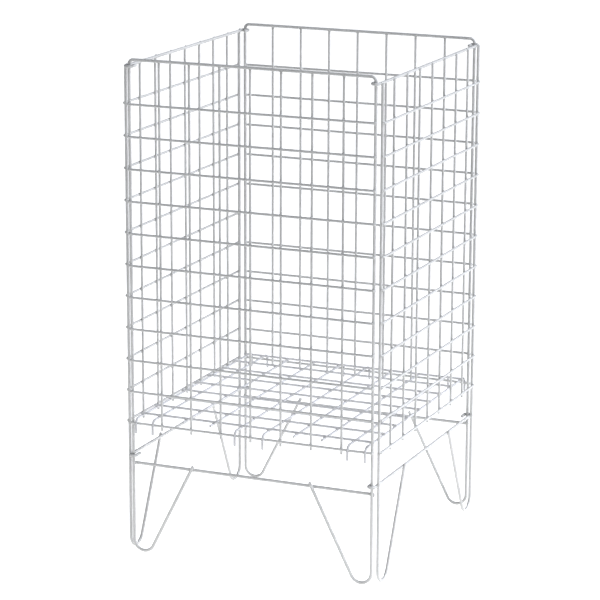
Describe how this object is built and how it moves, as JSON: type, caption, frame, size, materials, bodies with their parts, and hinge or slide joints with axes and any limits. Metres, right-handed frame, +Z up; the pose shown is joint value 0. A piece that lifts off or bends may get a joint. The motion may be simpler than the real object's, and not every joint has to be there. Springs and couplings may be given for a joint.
{
  "type": "wire mesh container",
  "caption": "Open-topped wire mesh dump bin: four welded wire walls hooked together at the corners, hairpin legs and a loose wire base hung between front and back.",
  "frame": {"origin": "centre of the footprint on the floor, under the feet", "axes": "+Z up, +X to the right seen from the front, the front wall faces -Y"},
  "size_m": [0.4274, 0.439, 0.78],
  "materials": {
    "wall_coating": "semi-gloss white powder coat",
    "base_coating": "semi-gloss white powder coat"
  },
  "bodies": {
    "front_wall": {"front_frame_wire": "wall_coating", "front_lower_rail": "wall_coating", "front_upright_wires": "wall_coating", "front_cross_wires": "wall_coating"},
    "left_wall": {"left_top_rail": "wall_coating", "left_lower_rail": "wall_coating", "left_front_leg_wire": "wall_coating", "left_back_leg_wire": "wall_coating", "left_upright_wires": "wall_coating", "left_cross_wires": "wall_coating"},
    "back_wall": {"back_frame_wire": "wall_coating", "back_lower_rail": "wall_coating", "back_upright_wires": "wall_coating", "back_cross_wires": "wall_coating"},
    "right_wall": {"right_top_rail": "wall_coating", "right_lower_rail": "wall_coating", "right_front_leg_wire": "wall_coating", "right_back_leg_wire": "wall_coating", "right_upright_wires": "wall_coating", "right_cross_wires": "wall_coating"},
    "base": {"base_hook_wires": "base_coating", "base_straight_wires": "base_coating", "base_cross_wires": "base_coating"}
  },
  "joints": [
    {"name": "front_left_corner_hinge", "type": "hinge", "parent": "front_wall", "child": "left_wall", "pos_m": [-0.2, -0.21, 0.4623], "axis": [0, 0, 1], "range_deg": [-0.5, 0.5]},
    {"name": "back_left_corner_hinge", "type": "hinge", "parent": "left_wall", "child": "back_wall", "pos_m": [-0.2, 0.21, 0.4623], "axis": [0, 0, 1], "range_deg": [-0.5, 0.5]},
    {"name": "front_right_corner_hinge", "type": "hinge", "parent": "front_wall", "child": "right_wall", "pos_m": [0.2, -0.21, 0.4623], "axis": [0, 0, 1], "range_deg": [-0.5, 0.5]},
    {"name": "base_lift", "type": "slide", "parent": "front_wall", "child": "base", "axis": [0, 0, 1], "range_m": [0, 0.0375]}
  ],
  "couplings": [
    {"joint": "back_left_corner_hinge", "follows": "front_left_corner_hinge", "ratio": -1},
    {"joint": "front_right_corner_hinge", "follows": "front_left_corner_hinge", "ratio": 1}
  ]
}
